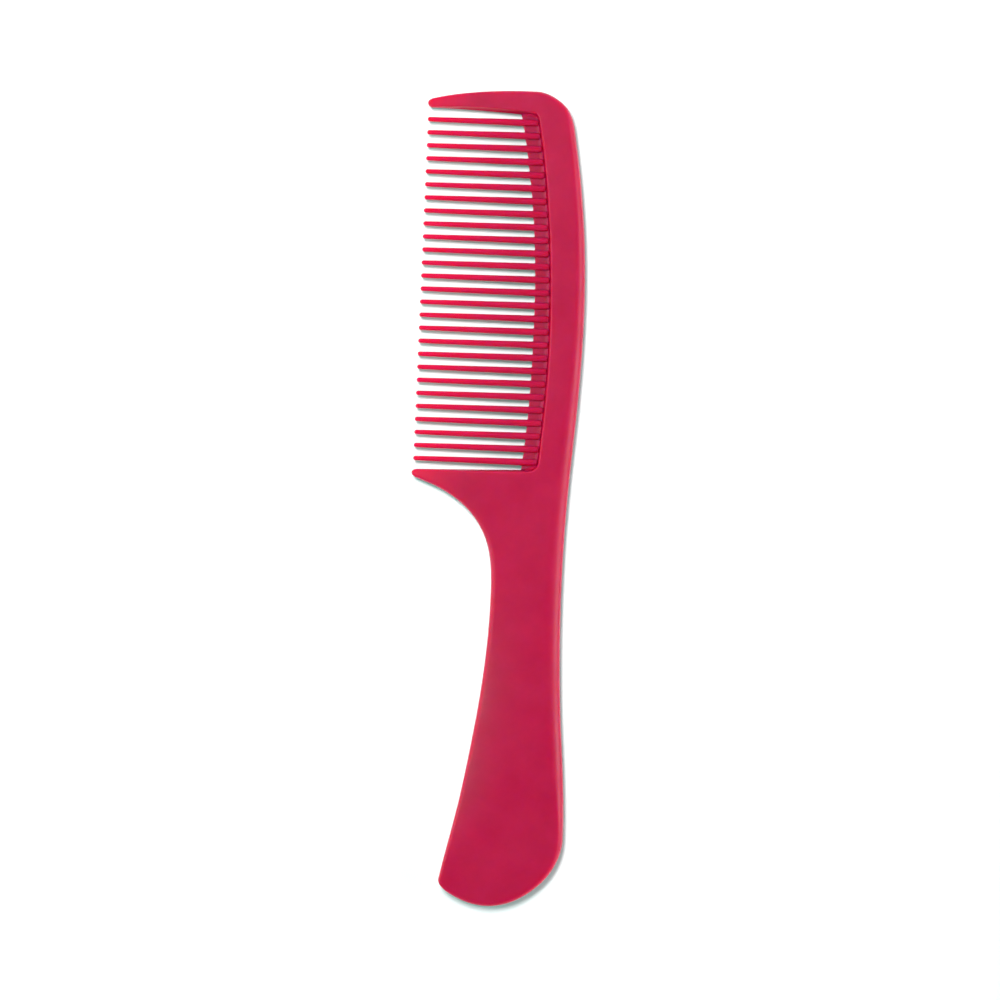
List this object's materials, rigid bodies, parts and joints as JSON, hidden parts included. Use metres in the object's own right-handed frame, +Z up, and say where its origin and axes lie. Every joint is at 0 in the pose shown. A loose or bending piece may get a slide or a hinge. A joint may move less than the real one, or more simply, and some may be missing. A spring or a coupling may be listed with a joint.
{
  "type": "wide tooth comb",
  "caption": "Flat handle comb with a row of wide-set tapered teeth between two guard teeth, a curved spine and a flared handle with a rounded end.",
  "frame": {"origin": "centre of the bounding box in plan, on the surface that the comb lies on, 2.4 mm under its middle plane", "axes": "+Y along the comb from the handle's end to the head; -X the way the teeth point, so +X is the back; +Z up, out of the flat face"},
  "size_m": [0.0441, 0.216, 0.0048],
  "materials": {
    "crimson_plastic": "satin crimson injection-moulded plastic with a fine grain, slightly translucent where it is thin"
  },
  "bodies": {
    "root": {"handle": "crimson_plastic", "neck": "crimson_plastic", "spine": "crimson_plastic", "upper_guard": "crimson_plastic", "lower_guard": "crimson_plastic", "root_web": "crimson_plastic", "tooth_01": "crimson_plastic", "tooth_02": "crimson_plastic", "tooth_03": "crimson_plastic", "tooth_04": "crimson_plastic", "tooth_05": "crimson_plastic", "tooth_06": "crimson_plastic", "tooth_07": "crimson_plastic", "tooth_08": "crimson_plastic", "tooth_09": "crimson_plastic", "tooth_10": "crimson_plastic", "tooth_11": "crimson_plastic", "tooth_12": "crimson_plastic", "tooth_13": "crimson_plastic", "tooth_14": "crimson_plastic", "tooth_15": "crimson_plastic", "tooth_16": "crimson_plastic", "tooth_17": "crimson_plastic", "tooth_18": "crimson_plastic", "tooth_19": "crimson_plastic", "tooth_20": "crimson_plastic", "tooth_21": "crimson_plastic", "tooth_22": "crimson_plastic", "tooth_23": "crimson_plastic", "tooth_24": "crimson_plastic", "tooth_25": "crimson_plastic", "tooth_26": "crimson_plastic", "tooth_27": "crimson_plastic"}
  },
  "joints": []
}
